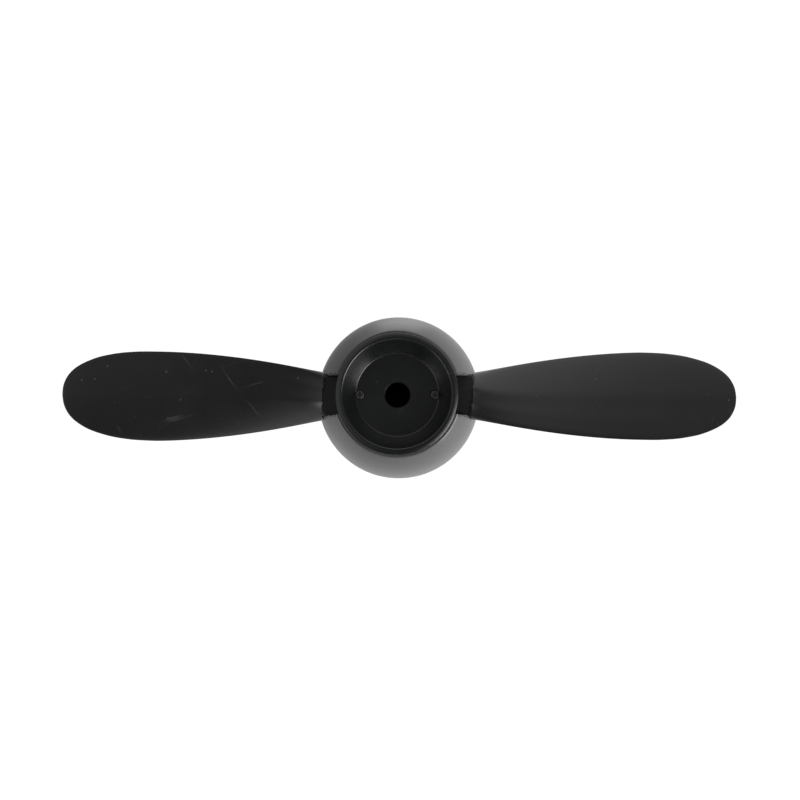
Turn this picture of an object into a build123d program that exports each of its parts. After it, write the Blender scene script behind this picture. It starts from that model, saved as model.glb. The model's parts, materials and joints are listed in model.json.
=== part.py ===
from build123d import *
import math
import os

# A two-blade propeller for a radio-controlled model aeroplane, with its spinner.
# Millimetres. The spin axis is Y and the spinner's nose points to +Y; the blades lie along X; Z is up.
# The origin is on the spin axis, in the plane of the two blade shanks, inside the shaft bore.
# Two hub halves meet at y = 0 and clamp the blade shanks. A bolt crosses each shank and locks it.
# The spinner is pushed over the hub from the front and its rear collar grips the hub's rim.

# ---- driving dimensions ----
BLADE_TIP_RADIUS = 82.6
WIDEST_AT = 60.0  # radius at which a blade is widest
WIDEST_HALF = 10.9  # half of the width seen along the spin axis, there
PITCH = 105.0  # advance per turn of the helix that the blade angle follows
ROOT_ANGLE_LIMIT = 30.0  # degrees, the steepest that a blade is set

SPINNER_RADIUS = 20.0
SPINNER_WIDEST_Y = 8.0
NOSE_LENGTH = 23.0
NOSE_CAP_RADIUS = 16.0  # the rounding at the tip of the nose
TAIL_CURVE_RADIUS = 30.0  # the arc that the tail follows from the widest place back
TAIL_EDGE_RADIUS = 15.3
SPINNER_WALL = 1.2

HUB_RADIUS = 14.7
HUB_REAR_Y = -10.2
HUB_FRONT_Y = 5.5
BORE_RADIUS = 3.03  # slides on a 6 mm stud

# ---- hub details ----
RIM_INNER_RADIUS = 13.05
FLOOR_RADIUS = 10.05
FLOOR_Y = HUB_REAR_Y + 4.7
RIM_INNER_ROUND = 0.2
RIM_OUTER_ROUND = 0.3
HUB_FRONT_CHAMFER = 0.6

# ---- blade root details ----
SHANK_HALF_WIDTH = 4.7
SHANK_HALF_DEPTH = 3.0
SHANK_CORNER = 0.3  # rounding of the shank's edges
SHANK_INSIDE_BLADE = 0.3  # how far the shank runs into the blade's root end
FOOT_START = 5.6
FOOT_END = 7.2
FOOT_SPREAD = 1.1  # how far the foot stands out past the shank, all round
SEAT_GAP = 0.03
CUFF_GAP = 0.4  # between the blade's root end and the spinner

# ---- blade section details ----
LOFT_START = 17.0  # the blade is lofted from here and cut back to the spinner
ROOT_THICKENING = 4.6
ROOT_THICKENING_FADE = 5.0
BLADE_THICKNESS_ROOT = 3.6
BLADE_THICKNESS_TIP = 1.0
TIP_FULLNESS = 2.3  # exponent of the superellipse that closes the tip
TAPER_RATE = 0.0064
TAPER_POWER = 1.8
TIP_SWEEP = 0.35
SECTION_POINTS = 28
FLATTENS_OVER = 12.0  # past the spinner, the length over which the rear face flattens
FRONT_FULLNESS = 0.14  # share of the thickness that moves from the rear face to the front face
NOSE_HEAVINESS = 0.22  # how much thicker the section is towards its leading edge
BLADE_STATIONS = [17, 19.5, 22, 24.5, 27, 32, 38, 45, 52, 59, 65, 70, 74, 77.2, 79.6, 81.1, 82, 82.45]

# ---- fasteners: shank radius, head radius, head height ----
BLADE_BOLT_AT = 9.1
BLADE_BOLT = (0.7, 1.15, 1.0)
BLADE_BOLT_SUNK = 0.1  # how far the head lies below the floor
BLADE_BOLT_ROUND = 0.3
BLADE_BOLT_DRIVE = (1.3, 0.35, 0.5)  # the driver cross: size, width, depth
BLADE_NUT_FLATS = 3.0
BLADE_NUT_HEIGHT = 1.3
CLAMP_SCREW_AT = 8.0
CLAMP_SCREW = (1.0, 1.8, 1.4)
CLAMP_SCREW_SUNK = 0.2
CLAMP_SCREW_ROUND = 0.5
CLAMP_SCREW_DRIVE = (2.2, 0.5, 0.8)
CLAMP_SCREW_LENGTH = 8.0
PILOT_PAST_SCREW = 0.4
HOLE_GAP = 0.03  # radial room round a screw's shank
HEAD_GAP = 0.05  # radial room round a screw's head

# ---- spinner details ----
COLLAR_RADIUS = HUB_RADIUS + 0.05
TAIL_EDGE_ROUND = 0.2
COLLAR_LENGTH = 2.4
NOTCH_GAP = 0.08
CHEEK_THICKNESS = 1.2  # of the wall that lines each notch
RIB_THICKNESS = 1.2
RIB_INNER_RADIUS = 12.4
RIB_FRONT_Y = 19.0
RIB_GAP = 0.05

FAR = 60.0  # longer than anything on the axis
TOUCH = 1e-3  # two places closer than this are the same place


# ---- helpers ----
def disc(radius, y0, y1, x=0.0, z=0.0):
    """A round bar along Y from y0 to y1."""
    plane = Plane(origin=(x, y0, z), x_dir=(1, 0, 0), z_dir=(0, 1, 0))
    return extrude(plane * Circle(radius), y1 - y0)


def taper(radius_0, radius_1, y0, y1):
    """A cone cut short, along Y, with radius_0 at y0 and radius_1 at y1."""
    plane = Plane(origin=(0, (y0 + y1) / 2, 0), x_dir=(1, 0, 0), z_dir=(0, 1, 0))
    return plane * Cone(radius_0, radius_1, y1 - y0)


def hexagon(flats, y0, y1, x=0.0, z=0.0):
    """A hexagonal bar along Y, flats apart across its flats."""
    plane = Plane(origin=(x, y0, z), x_dir=(1, 0, 0), z_dir=(0, 1, 0))
    return extrude(plane * RegularPolygon(flats / 2, 6, major_radius=False), y1 - y0)


def shank_bar(grow, x0, x1):
    """A bar along X with the blade shank's section, grown by grow all round."""
    plane = Plane(origin=(x0, 0, 0), x_dir=(0, 0, 1), z_dir=(1, 0, 0))
    width, depth = 2 * (SHANK_HALF_WIDTH + grow), 2 * (SHANK_HALF_DEPTH + grow)
    section = RectangleRounded(width, depth, SHANK_CORNER + grow)
    return extrude(plane * section, x1 - x0)


def block(x0, x1, y0, y1, z0, z1):
    """A box between two opposite corners."""
    centre = Pos((x0 + x1) / 2, (y0 + y1) / 2, (z0 + z1) / 2)
    return centre * Box(x1 - x0, y1 - y0, z1 - z0)


def tail_edge_angle():
    """Degrees along the tail's arc from the spinner's widest place to its rear edge."""
    return math.degrees(math.acos(1 - (SPINNER_RADIUS - TAIL_EDGE_RADIUS) / TAIL_CURVE_RADIUS))


def tail_edge_y():
    """Where the spinner's tail ends."""
    return SPINNER_WIDEST_Y - TAIL_CURVE_RADIUS * math.sin(math.radians(tail_edge_angle()))


def egg(grow=0.0):
    """The spinner's outer form as a solid, or its offset: tail arc, side arc and round nose, all tangent."""
    cap_rise = NOSE_LENGTH - NOSE_CAP_RADIUS
    side_radius = SPINNER_RADIUS**2 + cap_rise**2 - NOSE_CAP_RADIUS**2
    side_radius /= 2 * (SPINNER_RADIUS - NOSE_CAP_RADIUS)
    join = math.degrees(math.atan2(cap_rise, side_radius - SPINNER_RADIUS))
    tail_centre = (SPINNER_RADIUS - TAIL_CURVE_RADIUS, SPINNER_WIDEST_Y)
    tail = CenterArc(tail_centre, TAIL_CURVE_RADIUS + grow, -tail_edge_angle(), tail_edge_angle())
    side = CenterArc((SPINNER_RADIUS - side_radius, SPINNER_WIDEST_Y), side_radius + grow, 0, join)
    cap = CenterArc((0, SPINNER_WIDEST_Y + cap_rise), NOSE_CAP_RADIUS + grow, join, 90 - join)
    foot = (0, (tail @ 0).Y)
    return revolve(make_face([Line(foot, tail @ 0), tail, side, cap, Line(cap @ 1, foot)]), Axis.Y)


def both_sides(shape):
    """The shape and its copy turned half a turn about the spin axis."""
    return [shape, shape.rotate(Axis.Y, 180)]


def four_corners(spacing):
    """The four places of the clamp screws, as (x, z)."""
    return [(sx * spacing, sz * spacing) for sx, sz in ((1, 1), (-1, 1), (-1, -1), (1, -1))]


def circles_at(shape, y, radius):
    """The shape's circular edges of that radius, centred on the spin axis at that y."""
    found = shape.edges().filter_by(GeomType.CIRCLE)
    return found.filter_by(lambda e: abs(e.arc_center.Y - y) < TOUCH and abs(e.radius - radius) < TOUCH)


def cross_recess(drive, y, x=0.0, z=0.0, sign=1):
    """A cross-shaped driver recess in a head whose face is at y; sign is the way that the face looks."""
    size, width, depth = drive
    y0, y1 = sorted((y - sign * depth, y + sign * depth))
    upright = block(x - width / 2, x + width / 2, y0, y1, z - size / 2, z + size / 2)
    level = block(x - size / 2, x + size / 2, y0, y1, z - width / 2, z + width / 2)
    return upright + level


# ---- blades ----
def half_width(r):
    """Half of the blade's width seen along the spin axis, at radius r."""
    if r < WIDEST_AT:
        return WIDEST_HALF - TAPER_RATE * (WIDEST_AT - r) ** TAPER_POWER
    share = (r - WIDEST_AT) / (BLADE_TIP_RADIUS - WIDEST_AT)
    return WIDEST_HALF * (1 - share**TIP_FULLNESS) ** (1 / TIP_FULLNESS)


def blade_angle(r):
    """The blade's angle to the plane of rotation at radius r, in radians, eased below its limit."""
    helix = math.atan(PITCH / (2 * math.pi * r))
    limit = math.radians(ROOT_ANGLE_LIMIT)
    return limit * math.tanh(helix / limit)


def blade_thickness(r):
    """The blade's greatest thickness at radius r."""
    share = (r - LOFT_START) / (BLADE_TIP_RADIUS - LOFT_START)
    body = BLADE_THICKNESS_ROOT + (BLADE_THICKNESS_TIP - BLADE_THICKNESS_ROOT) * share
    root = ROOT_THICKENING * math.exp(-(r - SPINNER_RADIUS) / ROOT_THICKENING_FADE)
    fullness = math.sqrt(half_width(r) / WIDEST_HALF) if r > WIDEST_AT else 1.0
    return (body + root) * fullness


def blade_section(r):
    """The closed outline of the blade cut across at radius r."""
    angle = blade_angle(r)
    half_chord = half_width(r) / math.cos(angle)
    thickness = blade_thickness(r)
    flatness = min(1.0, max(0.0, (r - SPINNER_RADIUS) / FLATTENS_OVER))
    front_share = 0.5 + FRONT_FULLNESS * flatness
    sweep = -TIP_SWEEP * max(0.0, (r - WIDEST_AT) / (BLADE_TIP_RADIUS - WIDEST_AT)) ** 2
    points = []
    for k in range(SECTION_POINTS):
        turn = 2 * math.pi * k / SECTION_POINTS
        along = math.cos(turn) * half_chord
        share = front_share if math.sin(turn) > 0 else 1 - front_share
        nose_heavy = 1 + NOSE_HEAVINESS * flatness * math.cos(turn)
        across = thickness * share * math.sin(turn) * nose_heavy
        y = along * math.sin(angle) + across * math.cos(angle)
        z = along * math.cos(angle) - across * math.sin(angle) + sweep
        points.append((r, y, z))
    return make_face(Spline(*points, periodic=True))


def blade():
    """The blade that points to +X: aerofoil, shank, foot and the hole for its bolt."""
    aerofoil = loft([blade_section(r) for r in BLADE_STATIONS])
    aerofoil -= egg(CUFF_GAP)
    shank = shank_bar(0, FOOT_START, FAR) & egg(CUFF_GAP + SHANK_INSIDE_BLADE)
    foot = shank_bar(FOOT_SPREAD, FOOT_START, FOOT_END)
    hole = disc(BLADE_BOLT[0] + HOLE_GAP, -FAR, FAR, BLADE_BOLT_AT)
    return aerofoil + shank + foot - hole


# ---- hub ----
def blade_seats():
    """The space that both blade roots take up in the hub, with room all round."""
    shank = shank_bar(SEAT_GAP, FOOT_START - SEAT_GAP, FAR)
    foot = shank_bar(FOOT_SPREAD + SEAT_GAP, FOOT_START - SEAT_GAP, FOOT_END + SEAT_GAP)
    return both_sides(shank + foot)


BLADE_BOLT_SEAT_Y = FLOOR_Y + BLADE_BOLT[2] + BLADE_BOLT_SUNK
BLADE_NUT_SEAT_Y = HUB_FRONT_Y - BLADE_NUT_HEIGHT
CLAMP_SCREW_SEAT_Y = HUB_FRONT_Y - CLAMP_SCREW[2] - CLAMP_SCREW_SUNK


def hub_rear():
    """The cup behind the blades: rim, sloping wall, floor and bore, and half of each blade seat."""
    cup = disc(HUB_RADIUS, HUB_REAR_Y, 0)
    cup -= taper(RIM_INNER_RADIUS, FLOOR_RADIUS, HUB_REAR_Y, FLOOR_Y)
    cup = fillet(circles_at(cup, HUB_REAR_Y, HUB_RADIUS), RIM_OUTER_ROUND)
    cup = fillet(circles_at(cup, HUB_REAR_Y, RIM_INNER_RADIUS), RIM_INNER_ROUND)
    cup -= disc(BORE_RADIUS, -FAR, FAR)
    cup -= blade_seats()
    bolt_room = disc(BLADE_BOLT[0] + HOLE_GAP, -FAR, FAR, BLADE_BOLT_AT)
    bolt_room += disc(BLADE_BOLT[1] + HEAD_GAP, HUB_REAR_Y, BLADE_BOLT_SEAT_Y, BLADE_BOLT_AT)
    cup -= both_sides(bolt_room)
    pilot_end = CLAMP_SCREW_SEAT_Y - CLAMP_SCREW_LENGTH - PILOT_PAST_SCREW
    cup -= [disc(CLAMP_SCREW[0] + HOLE_GAP, pilot_end, FAR, x, z) for x, z in four_corners(CLAMP_SCREW_AT)]
    return cup


def hub_front():
    """The cap in front of the blades: the other half of each seat, and pockets for nuts and heads."""
    cap = disc(HUB_RADIUS, 0, HUB_FRONT_Y)
    cap = chamfer(circles_at(cap, HUB_FRONT_Y, HUB_RADIUS), HUB_FRONT_CHAMFER)
    cap -= disc(BORE_RADIUS, -FAR, FAR)
    cap -= blade_seats()
    bolt_room = disc(BLADE_BOLT[0] + HOLE_GAP, -FAR, FAR, BLADE_BOLT_AT)
    bolt_room += hexagon(BLADE_NUT_FLATS + 2 * SEAT_GAP, BLADE_NUT_SEAT_Y, FAR, BLADE_BOLT_AT)
    cap -= both_sides(bolt_room)
    for x, z in four_corners(CLAMP_SCREW_AT):
        cap -= disc(CLAMP_SCREW[0] + HOLE_GAP, -FAR, FAR, x, z)
        cap -= disc(CLAMP_SCREW[1] + HEAD_GAP, CLAMP_SCREW_SEAT_Y, FAR, x, z)
    return cap


# ---- fasteners ----
def blade_bolt():
    """A cross-head bolt from the hub's floor through the blade at +X."""
    shank, head, height = BLADE_BOLT
    face_y = BLADE_BOLT_SEAT_Y - height
    bolt = disc(head, face_y, BLADE_BOLT_SEAT_Y, BLADE_BOLT_AT)
    bolt = fillet(bolt.edges().group_by(Axis.Y)[0], BLADE_BOLT_ROUND)
    bolt += disc(shank, BLADE_BOLT_SEAT_Y, HUB_FRONT_Y, BLADE_BOLT_AT)
    return bolt - cross_recess(BLADE_BOLT_DRIVE, face_y, BLADE_BOLT_AT, sign=-1)


def blade_nut():
    """The nut of the bolt at +X, in its pocket in the hub's front."""
    nut = hexagon(BLADE_NUT_FLATS, BLADE_NUT_SEAT_Y, HUB_FRONT_Y, BLADE_BOLT_AT)
    return nut - disc(BLADE_BOLT[0] + HOLE_GAP, -FAR, FAR, BLADE_BOLT_AT)


def clamp_screw(x, z):
    """A cross-head screw from the hub's front half into its rear half."""
    shank, head, height = CLAMP_SCREW
    face_y = CLAMP_SCREW_SEAT_Y + height
    screw = disc(head, CLAMP_SCREW_SEAT_Y, face_y, x, z)
    screw = fillet(screw.edges().group_by(Axis.Y)[-1], CLAMP_SCREW_ROUND)
    screw += disc(shank, CLAMP_SCREW_SEAT_Y - CLAMP_SCREW_LENGTH, CLAMP_SCREW_SEAT_Y, x, z)
    return screw - cross_recess(CLAMP_SCREW_DRIVE, face_y, x, z)


# ---- spinner ----
def spinner_ribs(limit):
    """Four radial ribs that stop the spinner against the hub's front face, ending inside the skin."""
    y0 = HUB_FRONT_Y + RIB_GAP
    rib = block(RIB_INNER_RADIUS, FAR, y0, RIB_FRONT_Y, -RIB_THICKNESS / 2, RIB_THICKNESS / 2)
    return [rib.rotate(Axis.Y, 90 * k) & limit for k in range(4)]


def notch_cheeks():
    """The blocks that line both notches, before the shell's form, the hub and the notches are cut out."""
    half = SHANK_HALF_WIDTH + NOTCH_GAP + CHEEK_THICKNESS
    front_y = SHANK_HALF_DEPTH + NOTCH_GAP + CHEEK_THICKNESS
    return both_sides(block(0, FAR, -FAR, front_y, -half, half))


def spinner_shell():
    """The egg-shaped shell: ribs inside, a collar round the hub and a lined notch for each blade shank."""
    edge_y = tail_edge_y()
    room = egg(-SPINNER_WALL) - disc(FAR, -FAR, edge_y + COLLAR_LENGTH) - notch_cheeks()
    room += disc(COLLAR_RADIUS, -FAR, HUB_FRONT_Y)
    shell = egg() - room
    shell = fillet(shell.edges().group_by(Axis.Y)[0].sort_by(SortBy.LENGTH)[-1], TAIL_EDGE_ROUND)
    shell += spinner_ribs(egg(-SPINNER_WALL / 2))
    slot_half = SHANK_HALF_WIDTH + NOTCH_GAP
    slot = block(0, FAR, -FAR, 0, -slot_half, slot_half) + shank_bar(NOTCH_GAP, 0, FAR)
    return shell - both_sides(slot)


# ---- every piece, under the name that it is known by ----
def pieces():
    """Name to solid, for the whole propeller."""
    right_blade, left_blade = both_sides(blade())
    right_bolt, left_bolt = both_sides(blade_bolt())
    right_nut, left_nut = both_sides(blade_nut())
    made = {
        "hub_rear": hub_rear(),
        "hub_front": hub_front(),
        "blade_right": right_blade,
        "blade_left": left_blade,
        "blade_bolt_right": right_bolt,
        "blade_bolt_left": left_bolt,
        "blade_nut_right": right_nut,
        "blade_nut_left": left_nut,
        "spinner_shell": spinner_shell(),
    }
    for number, (x, z) in enumerate(four_corners(CLAMP_SCREW_AT), start=1):
        made[f"clamp_screw_{number}"] = clamp_screw(x, z)
    return made


os.makedirs("parts", exist_ok=True)
for name, solid in pieces().items():
    export_step(solid, f"parts/{name}.step")
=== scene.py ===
"""Two-blade model aeroplane propeller with a round spinner, modelled round its packed CAD frame."""

import json
import math

import bmesh
import bpy
from bpy.props import FloatProperty, FloatVectorProperty, IntProperty, PointerProperty
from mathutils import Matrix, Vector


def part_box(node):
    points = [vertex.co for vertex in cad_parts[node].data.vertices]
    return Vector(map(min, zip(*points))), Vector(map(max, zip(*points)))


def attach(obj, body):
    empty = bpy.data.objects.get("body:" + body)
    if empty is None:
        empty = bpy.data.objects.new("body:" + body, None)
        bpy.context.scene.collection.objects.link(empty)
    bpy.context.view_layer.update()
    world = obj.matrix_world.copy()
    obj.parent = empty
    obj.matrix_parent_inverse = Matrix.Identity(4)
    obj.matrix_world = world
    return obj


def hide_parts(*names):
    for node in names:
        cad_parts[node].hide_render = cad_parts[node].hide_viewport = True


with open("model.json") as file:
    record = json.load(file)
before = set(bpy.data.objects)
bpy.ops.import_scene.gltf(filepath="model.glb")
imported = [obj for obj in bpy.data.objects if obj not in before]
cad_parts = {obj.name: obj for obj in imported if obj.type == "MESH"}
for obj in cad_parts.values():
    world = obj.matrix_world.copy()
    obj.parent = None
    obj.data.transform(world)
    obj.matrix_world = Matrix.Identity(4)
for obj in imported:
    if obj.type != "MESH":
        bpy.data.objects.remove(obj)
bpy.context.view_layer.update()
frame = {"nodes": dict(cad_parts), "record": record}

bl_info = {
    "name": "Model Propeller",
    "version": (1, 0, 0),
    "blender": (4, 5, 0),
    "location": "View3D > Sidebar > Propeller",
    "description": "Models a two-blade propeller, its cupped hub and its round spinner",
    "category": "Object",
}

MM = 0.001
FULL_TURN = 2 * math.pi
TOUCH = 1e-6  # two places closer than this are the same place
NEAR = 0.01 * MM  # how far an edge may lie from the place where it is looked for
CUTTER_FACETS = 96  # segments round the forms that pieces are cut with
SMOOTH_BELOW = math.radians(32)  # edges sharper than this stay sharp

HUB_LOW, HUB_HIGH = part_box("hub_rear")
SHELL_LOW, SHELL_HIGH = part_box("spinner_shell")
BLADE_LOW, BLADE_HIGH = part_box("blade_right")
BOLT_LOW, BOLT_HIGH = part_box("blade_bolt_right")
BOLT_X = (BOLT_LOW.x + BOLT_HIGH.x) / 2

# the hub, and the blades' feet that it holds
BOLT_HOLE_RADIUS = 0.73 * MM
BOLT_ROOM_RADIUS = (BOLT_HIGH.x - BOLT_LOW.x) / 2 + 0.05 * MM
BOLT_SEAT_DEPTH = 1.1 * MM  # below the cup's floor
FOOT_START = BLADE_LOW.x
FOOT_END = 7.2 * MM
FOOT_SPREAD = 1.1 * MM  # how far the foot stands out beyond the shank all round
SEAT_GAP = 0.03 * MM
SHANK_INSIDE_BLADE = 0.3 * MM
BORE_RADIUS = next(m["dims"]["r_mm"] for m in frame["record"]["mounts"] if m["name"] == "shaft_bore") * MM
BORE_EDGE = 0.2 * MM  # the bevel round the bore, and the flat ring beside each of the floor's edges
PAST_HUB = 20 * MM

# the blades
ROOT_END_DEPTH = 1.2 * MM  # how far the blade's root end reaches beyond the spinner's widest radius
SOFT_EDGE = 0.4 * MM  # rounding of the blade's root end and of the notches' outer edges
BLADE_START = 17 * MM  # the blade's thickness is counted from here
FIRST_SECTION = 16.5 * MM  # inside the spinner, where the blade is cut back afterwards
SECTION_CROWDING = 0.55  # how much closer together the sections stand at the root and the tip
TAPER_RATE = 0.0064  # the half width falls from the widest place towards the root
TAPER_POWER = 1.8  # by this rate times this power of the distance, both in millimetres
TIP_FULLNESS = 2.3  # exponent of the superellipse that closes the tip
PAST_TIP = 0.15 * MM  # how far beyond the tip that superellipse would close
ROOT_THICKENING_FADE = 5 * MM
FRONT_SHARE = 1.25  # the front of a section is fuller than an ellipse
REAR_SHARE = 0.75  # and the rear is flatter
TRAILING_STEPS = 9  # the section thins in steps towards its trailing edge
TRAILING_THINNING = 0.945

# the spinner
TAIL_EDGE_ROUND = 0.2 * MM
COLLAR_GAP = 0.05 * MM
COLLAR_LENGTH = 2.4 * MM
COLLAR_STEP = 0.3 * MM  # the shell's curved inside begins this far in front of the collar
CHEEK_START = 1.2 * MM  # from the spinner's rear edge, inside the collar's length
CHEEK_GAP = 0.07 * MM  # clears the hub by a little more than the collar does
CHEEK_MIDDLE = 17 * MM
CHEEK_SPAN = 8 * MM
RIB_INNER_RADIUS = 12.4 * MM
RIB_THICKNESS = 1.2 * MM
RIB_LENGTH = 13.45 * MM
NOTCH_START = 8 * MM  # inside the room that the shell leaves
NOTCH_REAR = -15 * MM  # behind the spinner's rear edge, so that the notches are open there
NOTCH_EDGES_START = 15.4 * MM  # radius beyond which the notches' edges are the outer ones
NOTCH_EDGES_END = 2 * MM  # the straight edges end behind this place, where the corners begin
PAST_SPINNER = 25 * MM


# ---- sizes and colours that a user would change ----
def length(name, description, millimetres):
    """A length property with a default given in millimetres."""
    default = millimetres * MM
    return FloatProperty(name=name, description=description, default=default, unit="LENGTH", precision=5)


def angle(name, description, degrees):
    """An angle property with a default given in degrees."""
    return FloatProperty(name=name, description=description, default=math.radians(degrees), unit="ROTATION")


def share(name, description, value):
    """A property between 0 and 1."""
    limits = {"min": 0, "max": 1, "subtype": "FACTOR"}
    return FloatProperty(name=name, description=description, default=value, **limits)


def colour(name, description, value):
    """A colour property."""
    limits = {"min": 0, "max": 1, "subtype": "COLOR"}
    return FloatVectorProperty(name=name, description=description, default=value, **limits)


def count(name, description, value, least):
    """A whole-number property."""
    return IntProperty(name=name, description=description, default=value, min=least)


class BladeSettings(bpy.types.PropertyGroup):
    """Sizes of the blades."""

    widest_at: length("Widest at", "Radius at which a blade is widest", 60)
    widest_half: length("Half width", "Half of the widest width seen along the spin axis", 10.9)
    pitch: length("Pitch", "Advance per turn that the blade angle follows", 105)
    root_angle: angle("Root angle limit", "The steepest that a blade is set", 30)
    root_thickness: length("Root thickness", "Thickness of the blade near the hub", 3.6)
    root_thickening: length("Root thickening", "Thickness added where the blade meets the spinner", 4.6)
    tip_thickness: length("Tip thickness", "Thickness of the blade at the tip", 1.0)
    root_gap: length("Root gap", "Room between the blade's root end and the spinner", 0.4)
    shank_half_width: length("Shank half width", "Half of the shank's width across the axis", 4.7)
    shank_half_depth: length("Shank half depth", "Half of the shank's depth along the axis", 3.0)
    shank_corner: length("Shank corner", "Rounding of the shank's edges", 0.1)
    tip_sweep: length("Tip sweep", "How far the tip leans towards the trailing edge", 0.35)
    points_around: count("Points around", "Points round a blade section", 40, 16)
    stations: count("Stations", "Sections from root to tip", 30, 8)


class HubSettings(bpy.types.PropertyGroup):
    """Sizes of the hub's rear cup."""

    rim_inner: length("Rim inner radius", "Where the rim falls to the sloping wall", 13.05)
    rim_round: length("Rim rounding", "Rounding of the rim's inner edge", 0.35)
    crown: length("Rim crown", "Radius of the rim's crowned rear face", 3.3)
    rim_edge: length("Rim edge", "Rounding of the rim's outer edge", 0.2)
    floor_radius: length("Floor radius", "Where the sloping wall meets the floor", 10.05)
    floor_depth: length("Floor depth", "How far the floor lies below the rim", 4.7)
    foot_round: length("Foot rounding", "Rounding where the sloping wall meets the floor", 0.3)
    facets: count("Facets", "Segments round the hub", 240, 32)


class SpinnerSettings(bpy.types.PropertyGroup):
    """Sizes of the spinner."""

    widest_y: length("Widest at", "Place along the axis where the spinner is widest", 8)
    nose_cap: length("Nose radius", "Rounding at the tip of the nose", 16)
    tail_curve: length("Tail curve", "Radius of the arc that the tail follows", 30)
    tail_edge: length("Tail edge radius", "Radius of the rear edge", 15.3)
    wall: length("Wall", "Thickness of the shell", 1.2)
    notch_gap: length("Notch gap", "Room round each blade's shank", 0.08)
    facets: count("Facets", "Segments round the spinner", 240, 32)


class FinishSettings(bpy.types.PropertyGroup):
    """Colours of the materials."""

    blade: colour("Blade colour", "Moulded plastic of the blades", (0.003, 0.003, 0.0033))
    hub: colour("Hub colour", "Moulded plastic of the hub", (0.0029, 0.0036, 0.0033))
    spinner: colour("Spinner colour", "Moulded plastic of the spinner", (0.05, 0.05, 0.05))
    steel: colour("Screw colour", "Black-oxide steel of the screws", (0.055, 0.055, 0.057))
    wear: share("Wear", "How scuffed the surfaces are", 0.5)


class StageSettings(bpy.types.PropertyGroup):
    """The floor, the lights and the camera."""

    distance: length("Camera distance", "From the spin axis to the camera", 450)
    view_width: length("View width", "Width of the picture at the blades", 195.6)
    elevation: angle("Elevation", "Camera angle above level", -3.1)
    azimuth: angle("Azimuth", "Camera angle to the right of the spin axis", 1.3)
    floor_drop: length("Floor drop", "How far the floor lies below the spin axis", 600)
    floor_radius: length("Floor radius", "How far the round floor reaches", 700)
    floor_colour: colour("Floor colour", "Pale floor", (0.7, 0.7, 0.7))


SETTINGS = {
    "propeller_blades": BladeSettings,
    "propeller_hub": HubSettings,
    "propeller_spinner": SpinnerSettings,
    "propeller_finish": FinishSettings,
    "propeller_stage": StageSettings,
}


# ---- modelling helpers ----
def start_fresh():
    """Leaves object mode ready for a new primitive, with nothing selected."""
    if bpy.context.object and bpy.context.object.mode != "OBJECT":
        bpy.ops.object.mode_set(mode="OBJECT")
    bpy.ops.object.select_all(action="DESELECT")


def only(piece):
    """Makes the piece the one selected, active object."""
    start_fresh()
    piece.select_set(True)
    bpy.context.view_layer.objects.active = piece
    return piece


def choose(piece, test, mode="VERT"):
    """In edit mode, selects the vertices, edges or faces that pass the test and nothing else."""
    bpy.ops.mesh.select_mode(type=mode)
    bpy.ops.mesh.select_all(action="DESELECT")
    mesh = bmesh.from_edit_mesh(piece.data)
    items = {"VERT": mesh.verts, "EDGE": mesh.edges, "FACE": mesh.faces}[mode]
    for item in items:
        if test(item):
            item.select_set(True)
    mesh.select_flush_mode()
    bmesh.update_edit_mesh(piece.data)


def turn(radians, axis, centre):
    """Turns what is selected by the right-hand rule; with no window the operator turns the other way."""
    bpy.ops.transform.rotate(value=-radians, orient_axis=axis, center_override=centre)


def apply_place(piece):
    """Puts the piece's place, turn and scale into its mesh."""
    only(piece)
    bpy.ops.object.transform_apply(location=True, rotation=True, scale=True)


def close_mesh(piece):
    """Merges doubles and points every face outwards."""
    only(piece)
    bpy.ops.object.mode_set(mode="EDIT")
    bpy.ops.mesh.select_all(action="SELECT")
    bpy.ops.mesh.remove_doubles(threshold=0.002 * MM)
    bpy.ops.mesh.normals_make_consistent(inside=False)
    bpy.ops.object.mode_set(mode="OBJECT")


def is_sharp(edge, degrees):
    """Whether the edge joins two faces that bend by at least that angle."""
    return len(edge.link_faces) == 2 and edge.calc_face_angle() >= math.radians(degrees)


def smooth(piece):
    """Shades the piece smoothly, except over its sharp edges."""
    only(piece)
    bpy.ops.object.shade_smooth_by_angle(angle=SMOOTH_BELOW)


def finish_modifier(piece, kind, **values):
    """Adds a modifier, sets it up and applies it."""
    only(piece)
    modifier = piece.modifiers.new(kind.title(), kind)
    for name, value in values.items():
        setattr(modifier, name, value)
    bpy.ops.object.modifier_apply(modifier=modifier.name)


def cut(piece, tool, operation="DIFFERENCE"):
    """Cuts the tool out of the piece, or joins or intersects the two, and deletes the tool."""
    finish_modifier(piece, "BOOLEAN", object=tool, operation=operation, solver="MANIFOLD")
    bpy.data.objects.remove(tool, do_unlink=True)


def turned_ring(name, facets, radius, y):
    """A circle round the spin axis, left in edit mode with all of it selected."""
    start_fresh()
    bpy.ops.mesh.primitive_circle_add(
        vertices=facets, radius=radius, location=(0, y, 0), rotation=(math.pi / 2, 0, 0)
    )
    piece = bpy.context.object
    piece.name = name
    apply_place(piece)
    bpy.ops.object.mode_set(mode="EDIT")
    bpy.ops.mesh.select_all(action="SELECT")
    return piece


def turn_profile(profile, start):
    """Extrudes the selected ring through the (radius, y) places of a profile, beginning at start."""
    radius, y = start
    for next_radius, next_y in profile:
        bpy.ops.mesh.extrude_region_move(TRANSFORM_OT_translate={"value": (0, next_y - y, 0)})
        ratio = next_radius / radius
        bpy.ops.transform.resize(value=(ratio, 1, ratio), center_override=(0, next_y, 0))
        radius, y = next_radius, next_y


def arc(centre, radius, start, end, steps):
    """Places along an arc in the (radius, y) plane, without its first place."""
    places = []
    for step in range(1, steps + 1):
        bearing = start + (end - start) * step / steps
        places.append((centre[0] + radius * math.cos(bearing), centre[1] + radius * math.sin(bearing)))
    return places


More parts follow.
